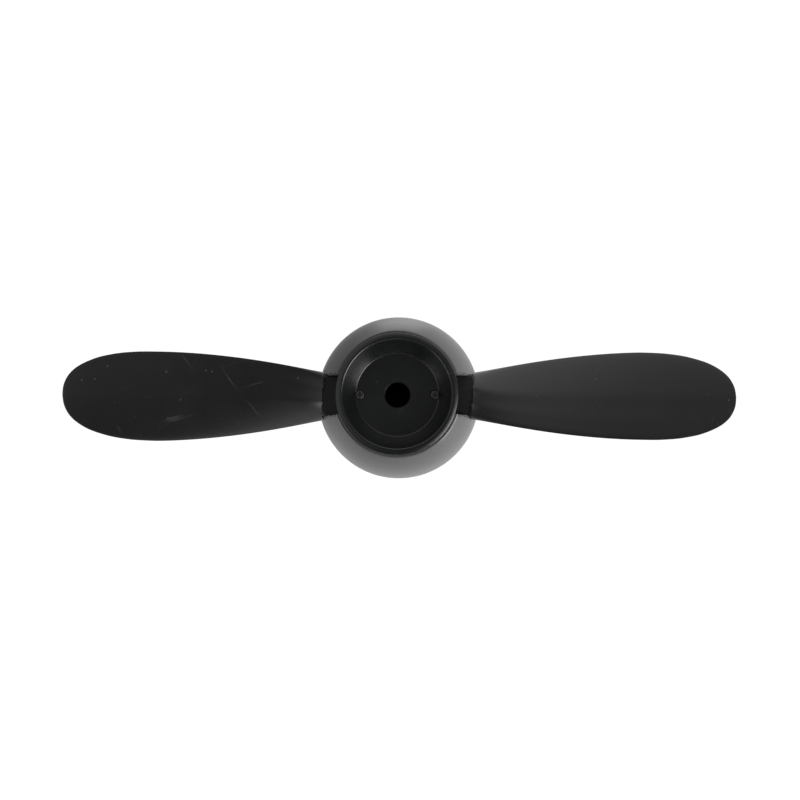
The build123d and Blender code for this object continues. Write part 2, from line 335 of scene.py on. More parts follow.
def copy_half_turn(piece, name):
    """A copy with its own mesh, turned half a turn about the spin axis."""
    only(piece)
    bpy.ops.object.duplicate(linked=False)
    copy = bpy.context.object
    copy.name = name
    copy.rotation_euler = (0, math.pi, 0)
    apply_place(copy)
    return copy


def round_bar(name, radius, y0, y1, x=0.0, vertices=48):
    """A round bar along Y."""
    start_fresh()
    bpy.ops.mesh.primitive_cylinder_add(
        vertices=vertices,
        radius=radius,
        depth=y1 - y0,
        location=(x, (y0 + y1) / 2, 0),
        rotation=(math.pi / 2, 0, 0),
    )
    bar = bpy.context.object
    bar.name = name
    apply_place(bar)
    return bar


def shank_bar(name, blades, grow, x0, x1):
    """A bar along X with the blade shank's rounded section, grown by grow all round."""
    start_fresh()
    bpy.ops.mesh.primitive_cube_add(size=1, location=((x0 + x1) / 2, 0, 0))
    bar = bpy.context.object
    bar.name = name
    bar.scale = (abs(x1 - x0), 2 * (blades.shank_half_depth + grow), 2 * (blades.shank_half_width + grow))
    apply_place(bar)
    bpy.ops.object.mode_set(mode="EDIT")
    choose(bar, lambda edge: abs(edge.verts[0].co.x - edge.verts[1].co.x) > TOUCH, "EDGE")
    bpy.ops.mesh.bevel(offset=blades.shank_corner + grow, segments=8, affect="EDGES")
    bpy.ops.object.mode_set(mode="OBJECT")
    return bar


# ---- the spinner's outer form ----
def egg_profile(spinner, grow=0.0):
    """(radius, y) places from the spinner's rear edge to just short of its nose, offset by grow."""
    nose_length = SHELL_HIGH.y - spinner.widest_y
    cap_rise = nose_length - spinner.nose_cap
    side = (SHELL_HIGH.x**2 + cap_rise**2 - spinner.nose_cap**2) / (2 * (SHELL_HIGH.x - spinner.nose_cap))
    join = math.atan2(cap_rise, side - SHELL_HIGH.x)
    tail_angle = math.acos(1 - (SHELL_HIGH.x - spinner.tail_edge) / spinner.tail_curve)
    tail_centre = (SHELL_HIGH.x - spinner.tail_curve, spinner.widest_y)
    cap_centre = (0, spinner.widest_y + cap_rise)
    pole = math.radians(89.4)
    first = arc(tail_centre, spinner.tail_curve + grow, -tail_angle, -tail_angle, 1)
    tail = arc(tail_centre, spinner.tail_curve + grow, -tail_angle, 0, 14)
    body = arc((SHELL_HIGH.x - side, spinner.widest_y), side + grow, 0, join, 22)
    cap = arc(cap_centre, spinner.nose_cap + grow, join, pole, 14)
    return first + tail + body + cap


def egg_solid(name, spinner, grow):
    """The spinner's outer form as a closed solid, offset outwards by grow."""
    profile = egg_profile(spinner, grow)
    solid = turned_ring(name, CUTTER_FACETS, *profile[0])
    bpy.ops.mesh.edge_face_add()
    choose(solid, lambda v: True)
    turn_profile(profile[1:], profile[0])
    bpy.ops.object.mode_set(mode="OBJECT")
    close_mesh(solid)
    return solid


# ---- blades ----
def blade_half_width(blades, r):
    """Half of the blade's width seen along the spin axis, at radius r."""
    tip = BLADE_HIGH.x
    if r < blades.widest_at:
        taper = TAPER_RATE * ((blades.widest_at - r) / MM) ** TAPER_POWER
        return blades.widest_half - taper * MM
    along = (r - blades.widest_at) / (tip + PAST_TIP - blades.widest_at)
    return blades.widest_half * (1 - along**TIP_FULLNESS) ** (1 / TIP_FULLNESS)


def blade_angle(blades, r):
    """The blade's angle to the plane of rotation at radius r."""
    helix = math.atan(blades.pitch / (FULL_TURN * r))
    return blades.root_angle * math.tanh(helix / blades.root_angle)


def blade_thickness(blades, r):
    """The blade's greatest thickness at radius r."""
    along = (r - BLADE_START) / (BLADE_HIGH.x - BLADE_START)
    body = blades.root_thickness + (blades.tip_thickness - blades.root_thickness) * along
    root = blades.root_thickening * math.exp(-(r - SHELL_HIGH.x) / ROOT_THICKENING_FADE)
    fullness = 1.0
    if r > blades.widest_at:
        fullness = math.sqrt(blade_half_width(blades, r) / blades.widest_half)
    return (body + root) * fullness


def blade_radii(blades):
    """Radii of the sections, closer together towards the root and the tip."""
    radii = []
    for k in range(blades.stations):
        even = k / (blades.stations - 1)
        crowded = 0.5 * (1 - math.cos(math.pi * even))
        along = crowded * SECTION_CROWDING + even * (1 - SECTION_CROWDING)
        radii.append(FIRST_SECTION + (BLADE_HIGH.x - FIRST_SECTION) * along)
    return radii


def airfoil_ring(blades, r, name):
    """The first section: an ellipse, fuller in front than behind, with a thin trailing edge."""
    start_fresh()
    bpy.ops.mesh.primitive_circle_add(
        vertices=blades.points_around, radius=1, location=(r, 0, 0), rotation=(0, math.pi / 2, 0)
    )
    blade = bpy.context.object
    blade.name = name
    apply_place(blade)
    bpy.ops.object.mode_set(mode="EDIT")
    half_chord = blade_half_width(blades, r) / math.cos(blade_angle(blades, r))
    half_thick = blade_thickness(blades, r) / 2
    bpy.ops.mesh.select_all(action="SELECT")
    bpy.ops.transform.resize(value=(1, half_thick, half_chord), center_override=(r, 0, 0))
    choose(blade, lambda v: v.co.y > TOUCH)
    bpy.ops.transform.resize(value=(1, FRONT_SHARE, 1), center_override=(r, 0, 0))
    choose(blade, lambda v: v.co.y < -TOUCH)
    bpy.ops.transform.resize(value=(1, REAR_SHARE, 1), center_override=(r, 0, 0))
    for step in range(TRAILING_STEPS):
        choose(blade, lambda v: v.co.z < -0.1 * step * half_chord)
        bpy.ops.transform.resize(value=(1, TRAILING_THINNING, 1), center_override=(r, 0, 0))
    bpy.ops.mesh.select_all(action="SELECT")
    turn(-blade_angle(blades, r), "X", (r, 0, 0))
    return blade


def model_blade(blades, spinner, name):
    """The blade that points to +X, with its shank and foot."""
    radii = blade_radii(blades)
    blade = airfoil_ring(blades, radii[0], name)
    for r, following in zip(radii, radii[1:]):
        pitch, next_pitch = blade_angle(blades, r), blade_angle(blades, following)
        chord = blade_half_width(blades, r) / math.cos(pitch)
        next_chord = blade_half_width(blades, following) / math.cos(next_pitch)
        thick = blade_thickness(blades, following) / blade_thickness(blades, r)
        centre = (following, 0, 0)
        bpy.ops.mesh.extrude_region_move(TRANSFORM_OT_translate={"value": (following - r, 0, 0)})
        turn(pitch, "X", centre)
        bpy.ops.transform.resize(value=(1, thick, next_chord / chord), center_override=centre)
        turn(-next_pitch, "X", centre)
    sweep_tip(blade, blades)
    choose(blade, lambda v: abs(v.co.x - radii[-1]) < TOUCH)
    bpy.ops.mesh.edge_face_add()
    choose(blade, lambda v: abs(v.co.x - radii[0]) < TOUCH)
    bpy.ops.mesh.edge_face_add()
    bpy.ops.object.mode_set(mode="OBJECT")
    close_mesh(blade)
    finish_modifier(blade, "SUBSURF", levels=2, render_levels=2)
    cut(blade, egg_solid("root_cutter", spinner, blades.root_gap))
    round_root_edge(blade, blades)
    shank = shank_bar("shank", blades, 0, FOOT_START, SHELL_HIGH.x + blades.root_gap)
    cut(shank, egg_solid("shank_end", spinner, blades.root_gap + SHANK_INSIDE_BLADE), "INTERSECT")
    cut(blade, shank, "UNION")
    cut(blade, shank_bar("foot", blades, FOOT_SPREAD, FOOT_START, FOOT_END), "UNION")
    cut(blade, round_bar("bolt_hole", BOLT_HOLE_RADIUS, HUB_LOW.y, -HUB_LOW.y, BOLT_X, vertices=24))
    return blade


def sweep_tip(blade, blades):
    """Leans the outer part of the blade a little towards its trailing edge."""
    reach = BLADE_HIGH.x - blades.widest_at
    starts = (0.0, 0.25, 0.5, 0.75)
    for start in starts:
        choose(blade, lambda v: v.co.x > blades.widest_at + start * reach)
        bpy.ops.transform.translate(value=(0, 0, -blades.tip_sweep / len(starts)))
    bpy.ops.mesh.select_all(action="DESELECT")


def round_root_edge(blade, blades):
    """Rounds the wide rear edge of the blade's root end, where the spinner's form was cut out of it."""
    only(blade)
    bpy.ops.object.mode_set(mode="EDIT")
    outermost = SHELL_HIGH.x + ROOT_END_DEPTH
    half = 0.95 * blades.shank_half_width

    def on_root_edge(edge):
        near_root = all(v.co.x < outermost and abs(v.co.z) < half for v in edge.verts)
        return near_root and is_sharp(edge, 40)

    choose(blade, on_root_edge, "EDGE")
    bpy.ops.mesh.bevel(offset=SOFT_EDGE, segments=4, affect="EDGES")
    bpy.ops.object.mode_set(mode="OBJECT")


# ---- hub ----
def model_hub_cup(hub, blades):
    """The cup behind the blades, turned from its profile and cut for the bolts and the blade roots."""
    rim_y = HUB_LOW.y
    outer = HUB_HIGH.x
    floor_y = rim_y + hub.floor_depth
    start = (BORE_RADIUS, HUB_HIGH.y)
    slope = math.atan2(hub.rim_inner - hub.floor_radius, hub.floor_depth)
    rim_centre = (hub.rim_inner + hub.rim_round, rim_y + hub.rim_round)
    floor_end = hub.floor_radius - 0.5 * hub.foot_round
    profile = [
        (BORE_RADIUS, floor_y + BORE_EDGE),
        (BORE_RADIUS + BORE_EDGE, floor_y),
        (BORE_RADIUS + 2 * BORE_EDGE, floor_y),
        (floor_end - BORE_EDGE, floor_y),
        (floor_end, floor_y),
    ]
    profile += arc((floor_end, floor_y - hub.foot_round), hub.foot_round, 0.5 * math.pi, slope, 5)
    profile += arc(rim_centre, hub.rim_round, math.pi + slope, math.pi + slope, 1)
    profile += arc(rim_centre, hub.rim_round, math.pi + slope, 1.5 * math.pi, 5)
    crest = (hub.rim_inner + hub.rim_round, rim_y + hub.crown)
    lean = math.asin((outer - hub.rim_edge - crest[0]) / hub.crown)
    profile += arc(crest, hub.crown, 1.5 * math.pi, 1.5 * math.pi + lean, 8)
    shoulder = (outer - hub.rim_edge, profile[-1][1] + hub.rim_edge)
    profile += arc(shoulder, hub.rim_edge, 1.5 * math.pi + lean, FULL_TURN, 5)
    profile += [(outer, HUB_HIGH.y), start]
    cup = turned_ring("hub_cup", hub.facets, *start)
    turn_profile(profile, start)
    bpy.ops.object.mode_set(mode="OBJECT")
    close_mesh(cup)
    for side in (-1, 1):
        cut(cup, round_bar("bolt_room", BOLT_ROOM_RADIUS, rim_y, floor_y + BOLT_SEAT_DEPTH, side * BOLT_X))
        cut(cup, round_bar("bolt_hole", BOLT_HOLE_RADIUS, rim_y, -rim_y, side * BOLT_X, vertices=24))
        start_x, foot_x = side * (FOOT_START - SEAT_GAP), side * (FOOT_END + SEAT_GAP)
        cut(cup, shank_bar("shank_seat", blades, SEAT_GAP, start_x, side * PAST_HUB))
        cut(cup, shank_bar("foot_seat", blades, FOOT_SPREAD + SEAT_GAP, start_x, foot_x))
    return cup


# ---- spinner ----
def model_spinner(spinner, blades):
    """The shell: outside, rounded rear edge, collar, inside, cheeks, ribs and two notches."""
    outside = egg_profile(spinner)
    inside = egg_profile(spinner, -spinner.wall)
    tail_y = SHELL_LOW.y
    collar_radius = HUB_HIGH.x + COLLAR_GAP
    collar_y = tail_y + COLLAR_LENGTH
    inside = [place for place in inside if place[1] > collar_y + COLLAR_STEP]
    start = (collar_radius, collar_y)
    rear = [(collar_radius, tail_y), (spinner.tail_edge, tail_y)]
    shell = turned_ring("spinner_body", spinner.facets, *start)
    turn_profile(rear + outside[1:], start)
    bpy.ops.mesh.edge_face_add()
    choose(shell, lambda v: is_on_ring(v, collar_y, collar_radius, TOUCH))
    turn_profile([(inside[0][0], collar_y)] + inside, start)
    bpy.ops.mesh.edge_face_add()
    bpy.ops.object.mode_set(mode="OBJECT")
    close_mesh(shell)
    round_ring(shell, tail_y, spinner.tail_edge, TAIL_EDGE_ROUND)
    add_cheeks(shell, spinner, blades)
    add_ribs(shell, spinner)
    cut_notches(shell, spinner, blades)
    round_notch_edges(shell, blades.shank_half_width + spinner.notch_gap)
    return shell


def is_on_ring(vertex, y, radius, near):
    """Whether the vertex lies on the circle round the spin axis at that place and radius."""
    away = math.hypot(vertex.co.x, vertex.co.z) - radius
    return abs(vertex.co.y - y) < near and abs(away) < near


def round_ring(piece, y, radius, rounding):
    """Rounds the ring of edges at that place and radius."""
    only(piece)
    bpy.ops.object.mode_set(mode="EDIT")
    choose(piece, lambda edge: all(is_on_ring(v, y, radius, NEAR) for v in edge.verts), "EDGE")
    bpy.ops.mesh.bevel(offset=rounding, segments=5, affect="EDGES")
    bpy.ops.object.mode_set(mode="OBJECT")


def round_notch_edges(shell, half):
    """Softens the notches' straight outer edges; half is their distance above and below the axis."""
    only(shell)
    bpy.ops.object.mode_set(mode="EDIT")

    def on_outer_edge(edge):
        ends = [v.co for v in edge.verts]
        straight = all(abs(abs(v.z) - half) < NEAR and v.y < NOTCH_EDGES_END for v in ends)
        outer = all(math.hypot(v.x, v.z) > NOTCH_EDGES_START for v in ends)
        return straight and outer and is_sharp(edge, 35)

    choose(shell, on_outer_edge, "EDGE")
    bpy.ops.mesh.bevel(offset=SOFT_EDGE, segments=3, affect="EDGES")
    bpy.ops.object.mode_set(mode="OBJECT")
    close_mesh(shell)


def add_cheeks(shell, spinner, blades):
    """The walls that line both notches, from the hub out to the shell."""
    reach = spinner.notch_gap + spinner.wall
    rear_y, front_y = SHELL_LOW.y + CHEEK_START, blades.shank_half_depth + reach
    for side in (-1, 1):
        start_fresh()
        bpy.ops.mesh.primitive_cube_add(size=1, location=(side * CHEEK_MIDDLE, (rear_y + front_y) / 2, 0))
        cheek = bpy.context.object
        cheek.scale = (CHEEK_SPAN, front_y - rear_y, 2 * (blades.shank_half_width + reach))
        apply_place(cheek)
        cut(cheek, egg_solid("cheek_limit", spinner, -spinner.wall / 2), "INTERSECT")
        hub_radius = HUB_HIGH.x + CHEEK_GAP
        cut(cheek, round_bar("hub_room", hub_radius, -PAST_HUB, PAST_HUB, vertices=spinner.facets))
        cut(shell, cheek, "UNION")


def add_ribs(shell, spinner):
    """Four inner ribs that stop on the hub's front face."""
    inner, outer = RIB_INNER_RADIUS, SHELL_HIGH.x
    middle_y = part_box("hub_front")[1].y + COLLAR_GAP + RIB_LENGTH / 2
    for quarter in range(4):
        start_fresh()
        bpy.ops.mesh.primitive_cube_add(size=1, location=((inner + outer) / 2, middle_y, 0))
        rib = bpy.context.object
        rib.scale = (outer - inner, RIB_LENGTH, RIB_THICKNESS)
        apply_place(rib)
        cut(rib, egg_solid("rib_limit", spinner, -spinner.wall / 2), "INTERSECT")
        rib.rotation_euler = (0, quarter * math.pi / 2, 0)
        apply_place(rib)
        cut(shell, rib, "UNION")


def cut_notches(shell, spinner, blades):
    """Two notches, open at the rear, that the blades' shanks pass through."""
    for side in (-1, 1):
        notch = shank_bar("notch", blades, spinner.notch_gap, side * NOTCH_START, side * PAST_SPINNER)
        only(notch)
        bpy.ops.object.mode_set(mode="EDIT")
        choose(notch, lambda v: v.co.y < -TOUCH)
        bpy.ops.transform.resize(value=(1, 0, 1), center_override=(0, NOTCH_REAR, 0))
        bpy.ops.object.mode_set(mode="OBJECT")
        close_mesh(notch)
        cut(shell, notch)


# ---- materials ----
class Graph:
    """A short way to write a shader's nodes and links."""

    def __init__(self, tree):
        self.tree = tree

    def add(self, kind, inputs=None, **values):
        """A node with its properties and inputs set; an input may be a value or another node's output."""
        node = self.tree.nodes.new(kind)
        for name, value in values.items():
            setattr(node, name, value)
        for name, value in (inputs or {}).items():
            if isinstance(value, bpy.types.NodeSocket):
                self.tree.links.new(value, node.inputs[name])
            else:
                node.inputs[name].default_value = value
        return node

    def math(self, operation, first, second=0.0):
        """The result of a maths node."""
        node = self.add("ShaderNodeMath", {0: first, 1: second}, operation=operation)
        return node.outputs[0]

    def multiply_add(self, value, factor, addend):
        """Value times factor, plus addend."""
        inputs = {0: value, 1: factor, 2: addend}
        return self.add("ShaderNodeMath", inputs, operation="MULTIPLY_ADD").outputs[0]

    def ramp(self, value, low, high):
        """Value spread from 0 at low to 1 at high, held between the two."""
        inputs = {"Value": value, "From Min": low, "From Max": high}
        return self.add("ShaderNodeMapRange", inputs, clamp=True).outputs[0]

    def mix(self, amount, first, second):
        """The two colours mixed by amount."""
        node = self.add("ShaderNodeMix", {"Factor": amount}, data_type="RGBA")
        for socket, value in ((node.inputs[6], first), (node.inputs[7], second)):
            if isinstance(value, bpy.types.NodeSocket):
                self.tree.links.new(value, socket)
            else:
                socket.default_value = (*value[:3], 1.0)
        return node.outputs[2]


def new_group(name, inputs, outputs):
    """An empty shader group with named sockets, and its graph."""
    tree = bpy.data.node_groups.new(name, "ShaderNodeTree")
    for socket, kind, value in inputs:
        made = tree.interface.new_socket(socket, in_out="INPUT", socket_type=kind)
        if value is not None:
            made.default_value = value
    for socket, kind in outputs:
        tree.interface.new_socket(socket, in_out="OUTPUT", socket_type=kind)
    graph = Graph(tree)
    entry = graph.add("NodeGroupInput")
    leave = graph.add("NodeGroupOutput")
    return tree, graph, entry, leave


FLOAT = "NodeSocketFloat"
VECTOR = "NodeSocketVector"
DUST_COLOUR = (0.12, 0.115, 0.11)
SCRATCH_WAYS = ((0.3, 0.05), (1.25, 0.07), (2.2, 0.04))  # bearing and stretch of each set of scratches


def scuff_group():
    """Fine scratches that run many ways, in patches: a mask and a height."""
    inputs = [("Position", VECTOR, None), ("Amount", FLOAT, 0.5), ("Scale", FLOAT, 900.0)]
    tree, graph, entry, leave = new_group("Scuffs", inputs, [("Mask", FLOAT), ("Height", FLOAT)])
    masks = []
    for number, (bearing, stretch) in enumerate(SCRATCH_WAYS):
        turned = graph.add(
            "ShaderNodeVectorRotate",
            {"Vector": entry.outputs["Position"], "Axis": (0, 1, 0), "Angle": bearing},
            rotation_type="AXIS_ANGLE",
        )
        squeezed = graph.add(
            "ShaderNodeMapping",
            {"Vector": turned.outputs[0], "Scale": (stretch, 0.3, 1), "Location": (number, 0, 0)},
        )
        lines = graph.add(
            "ShaderNodeTexNoise",
            {
                "Vector": squeezed.outputs[0],
                "Scale": entry.outputs["Scale"],
                "Detail": 2.0,
                "Roughness": 0.6,
            },
        )
        masks.append(graph.ramp(lines.outputs["Fac"], 0.66, 0.74))
    place = entry.outputs["Position"]
    patches = graph.add("ShaderNodeTexNoise", {"Vector": place, "Scale": 70.0, "Detail": 3.0})
    patch = graph.ramp(patches.outputs["Fac"], 0.5, 0.66)
    lines = graph.math("MAXIMUM", graph.math("MAXIMUM", masks[0], masks[1]), masks[2])
    mask = graph.math("MULTIPLY", graph.math("MULTIPLY", lines, patch), entry.outputs["Amount"])
    graph.tree.links.new(mask, leave.inputs["Mask"])
    graph.tree.links.new(graph.math("MULTIPLY", mask, -1.0), leave.inputs["Height"])
    return tree


def grain_group():
    """The skin of moulded plastic: very fine grain with slow waves under it."""
    inputs = [("Position", VECTOR, None), ("Fine", FLOAT, 1.0), ("Waves", FLOAT, 1.0)]
    outputs = [("Height", FLOAT), ("Variation", FLOAT)]
    tree, graph, entry, leave = new_group("Moulded Skin", inputs, outputs)
    place = entry.outputs["Position"]
    fine = graph.add("ShaderNodeTexNoise", {"Vector": place, "Scale": 3800.0, "Detail": 2.0})
    slow = graph.add("ShaderNodeTexNoise", {"Vector": place, "Scale": 160.0, "Detail": 1.0})
    broad = graph.add("ShaderNodeTexNoise", {"Vector": place, "Scale": 45.0, "Detail": 3.0})
    fine_part = graph.math("MULTIPLY", fine.outputs["Fac"], entry.outputs["Fine"])
    slow_part = graph.math("MULTIPLY", slow.outputs["Fac"], entry.outputs["Waves"])
    graph.tree.links.new(graph.math("ADD", fine_part, slow_part), leave.inputs["Height"])
    graph.tree.links.new(broad.outputs["Fac"], leave.inputs["Variation"])
    return tree


def dust_group():
    """Sparse pale specks of dust."""
    inputs = [("Position", VECTOR, None), ("Amount", FLOAT, 0.5)]
    tree, graph, entry, leave = new_group("Dust", inputs, [("Mask", FLOAT)])
    place = entry.outputs["Position"]
    cells = graph.add("ShaderNodeTexVoronoi", {"Vector": place, "Scale": 620.0, "Randomness": 1.0})
    specks = graph.ramp(cells.outputs["Distance"], 0.16, 0.05)
    chosen = graph.add("ShaderNodeSeparateColor", {"Color": cells.outputs["Color"]})
    rare = graph.ramp(chosen.outputs[0], 0.90, 0.93)
    mask = graph.math("MULTIPLY", graph.math("MULTIPLY", specks, rare), entry.outputs["Amount"])
    graph.tree.links.new(mask, leave.inputs["Mask"])
    return tree


def edge_group():
    """Worn edges: a mask that is high where the surface bends sharply outwards."""
    inputs = [("Sharpness", FLOAT, 1.0)]
    tree, graph, entry, leave = new_group("Worn Edges", inputs, [("Mask", FLOAT)])
    geometry = graph.add("ShaderNodeNewGeometry")
    edge = graph.ramp(geometry.outputs["Pointiness"], 0.6, 0.7)
    graph.tree.links.new(graph.math("MULTIPLY", edge, entry.outputs["Sharpness"]), leave.inputs["Mask"])
    return tree


def new_material(name):
    """A material with an empty graph, its output and the Object coordinates."""
    material = bpy.data.materials.new(name)
    material.use_nodes = True
    material.node_tree.nodes.clear()
    graph = Graph(material.node_tree)
    shader = graph.add("ShaderNodeBsdfPrincipled")
    output = graph.add("ShaderNodeOutputMaterial")
    graph.tree.links.new(shader.outputs["BSDF"], output.inputs["Surface"])
    place = graph.add("ShaderNodeTexCoord").outputs["Object"]
    return material, graph, shader, place


def moulded_plastic(name, base, roughness, wear, edge_wear, fine=1.0, waves=1.0, bump=0.02):
    """Satin moulded plastic with grain, scuffs, dust and worn edges."""
    material, graph, shader, place = new_material(name)
    groups = bpy.data.node_groups
    skin = graph.add("ShaderNodeGroup", node_tree=groups["Moulded Skin"])
    scuffs = graph.add("ShaderNodeGroup", node_tree=groups["Scuffs"])
    dust = graph.add("ShaderNodeGroup", node_tree=groups["Dust"])
    edges = graph.add("ShaderNodeGroup", node_tree=groups["Worn Edges"])
    for group in (skin, scuffs, dust):
        graph.tree.links.new(place, group.inputs["Position"])
    skin.inputs["Fine"].default_value = fine
    skin.inputs["Waves"].default_value = waves
    scuffs.inputs["Amount"].default_value = wear
    dust.inputs["Amount"].default_value = wear
    edges.inputs["Sharpness"].default_value = edge_wear
    dark = tuple(c * 0.8 for c in base)
    light = tuple(c * 1.25 for c in base)
    pale = tuple(min(1.0, c * 4 + 0.03) for c in base)
    body = graph.mix(skin.outputs["Variation"], dark, light)
    body = graph.mix(graph.math("MULTIPLY", scuffs.outputs["Mask"], 0.6), body, pale)
    body = graph.mix(graph.math("MULTIPLY", edges.outputs["Mask"], 0.5), body, pale)
    body = graph.mix(dust.outputs["Mask"], body, DUST_COLOUR)
    graph.tree.links.new(body, shader.inputs["Base Color"])
    gloss = graph.multiply_add(skin.outputs["Variation"], 0.14, roughness - 0.07)
    rough = graph.math("ADD", gloss, graph.math("MULTIPLY", scuffs.outputs["Mask"], 0.25))
    graph.tree.links.new(rough, shader.inputs["Roughness"])
    scratches = graph.math("MULTIPLY", scuffs.outputs["Height"], 2.0)
    height = graph.math("ADD", skin.outputs["Height"], scratches)
    relief = graph.add("ShaderNodeBump", {"Height": height, "Strength": 0.25, "Distance": bump * MM})
    graph.tree.links.new(relief.outputs["Normal"], shader.inputs["Normal"])
    shader.inputs["IOR"].default_value = 1.5
    return material


def black_oxide_steel(name, base):
    """Dark steel with fine turning marks and slightly brighter edges."""
    material, graph, shader, place = new_material(name)
    marks = graph.add("ShaderNodeTexNoise", {"Vector": place, "Scale": 2600.0, "Detail": 3.0})
    edges = graph.add("ShaderNodeGroup", node_tree=bpy.data.node_groups["Worn Edges"])
    body = graph.mix(marks.outputs["Fac"], tuple(c * 0.7 for c in base), tuple(c * 1.4 for c in base))
    body = graph.mix(edges.outputs["Mask"], body, tuple(c * 4 for c in base))
    graph.tree.links.new(body, shader.inputs["Base Color"])
    shader.inputs["Metallic"].default_value = 0.85
    rough = graph.multiply_add(marks.outputs["Fac"], 0.2, 0.32)
    graph.tree.links.new(rough, shader.inputs["Roughness"])
    relief = graph.add(
        "ShaderNodeBump", {"Height": marks.outputs["Fac"], "Strength": 0.2, "Distance": 0.01 * MM}
    )
    graph.tree.links.new(relief.outputs["Normal"], shader.inputs["Normal"])
    return material


def pale_floor(name, base, radius):
    """A matt pale floor that fades out towards its edge."""
    material, graph, shader, place = new_material(name)
    grain = graph.add("ShaderNodeTexNoise", {"Vector": place, "Scale": 900.0, "Detail": 2.0})
    darker, paler = tuple(c * 0.99 for c in base), tuple(min(1, c * 1.01) for c in base)
    body = graph.mix(grain.outputs["Fac"], darker, paler)
    graph.tree.links.new(body, shader.inputs["Base Color"])
    shader.inputs["Roughness"].default_value = 0.8
    away = graph.add("ShaderNodeVectorMath", {0: place}, operation="LENGTH").outputs["Value"]
    graph.tree.links.new(graph.ramp(away, radius * 0.98, radius * 0.45), shader.inputs["Alpha"])
    return material


def wear_material(piece, material):
    """Gives the piece that one material."""
    piece.data.materials.clear()
    piece.data.materials.append(material)


def on_scene(group):
    """The settings of one group."""
    return getattr(bpy.context.scene, group)


# ---- operators ----
class PROPELLER_OT_materials(bpy.types.Operator):
    """Make the materials that the pieces share"""

    bl_idname = "propeller.materials"
    bl_label = "Make Materials"

    def execute(self, context):
        finish = on_scene("propeller_finish")
        for make in (scuff_group, grain_group, dust_group, edge_group):
            make()
        wear = finish.wear
        moulded_plastic("Blade Plastic", finish.blade, 0.33, wear, wear, fine=0.6, waves=1.2, bump=0.03)
        moulded_plastic("Hub Plastic", finish.hub, 0.28, wear * 0.6, 0.0, fine=0.5, waves=0.4)
        moulded_plastic(
            "Spinner Plastic", finish.spinner, 0.34, wear * 0.5, wear * 0.5, fine=0.7, waves=0.3
        )
        black_oxide_steel("Black Oxide Steel", finish.steel)
        return {"FINISHED"}


class PROPELLER_OT_blades(bpy.types.Operator):
    """Model the two blades with their shanks"""

    bl_idname = "propeller.blades"
    bl_label = "Model Blades"

    def execute(self, context):
        blades = on_scene("propeller_blades")
        right = model_blade(blades, on_scene("propeller_spinner"), "blade_right_moulding")
        left = copy_half_turn(right, "blade_left_moulding")
        for piece, node in ((right, "blade_right"), (left, "blade_left")):
            smooth(piece)
            wear_material(piece, bpy.data.materials["Blade Plastic"])
            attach(piece, "propeller")
            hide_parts(node)
        return {"FINISHED"}


class PROPELLER_OT_hub(bpy.types.Operator):
    """Model the hub's rear cup"""

    bl_idname = "propeller.hub"
    bl_label = "Model Hub Cup"

    def execute(self, context):
        cup = model_hub_cup(on_scene("propeller_hub"), on_scene("propeller_blades"))
        smooth(cup)
        wear_material(cup, bpy.data.materials["Hub Plastic"])
        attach(cup, "propeller")
        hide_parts("hub_rear")
        return {"FINISHED"}


class PROPELLER_OT_spinner(bpy.types.Operator):
    """Model the spinner"""

    bl_idname = "propeller.spinner"
    bl_label = "Model Spinner"

    def execute(self, context):
        shell = model_spinner(on_scene("propeller_spinner"), on_scene("propeller_blades"))
        smooth(shell)
        wear_material(shell, bpy.data.materials["Spinner Plastic"])
        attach(shell, "spinner")
        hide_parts("spinner_shell")
        return {"FINISHED"}


class PROPELLER_OT_inner_parts(bpy.types.Operator):
    """Finish the hub's front half and the fasteners, whose CAD shapes are right"""

    bl_idname = "propeller.inner_parts"
    bl_label = "Finish Inner Parts"

    def execute(self, context):
        for name, node in frame["nodes"].items():
            if name == "hub_front":
                wear_material(node, bpy.data.materials["Hub Plastic"])
            elif "bolt" in name or "nut" in name or "screw" in name:
                wear_material(node, bpy.data.materials["Black Oxide Steel"])
        return {"FINISHED"}


class PROPELLER_OT_stage(bpy.types.Operator):
    """Set up the pale floor, the soft lights and the camera"""

    bl_idname = "propeller.stage"
    bl_label = "Set Up Stage"

    def execute(self, context):
        stage = on_scene("propeller_stage")
        add_floor(stage)
        add_world()
        add_lights()
        add_camera(stage)
        return {"FINISHED"}


# ---- stage ----
def add_floor(stage):
    """A round pale floor below the propeller."""
    start_fresh()
    radius = stage.floor_radius
    place = (0, 0, -stage.floor_drop)
    bpy.ops.mesh.primitive_circle_add(vertices=128, radius=radius, fill_type="NGON", location=place)
    floor = bpy.context.object
    floor.name = "studio_floor"
    wear_material(floor, pale_floor("Pale Floor", stage.floor_colour, radius))


DIM_CORNER = (-0.62, 0.69, 0.36)  # the way to the studio's darker corner
LOOK_AT = (0.52 * MM, 0, -0.95 * MM)  # the place in the middle of the picture


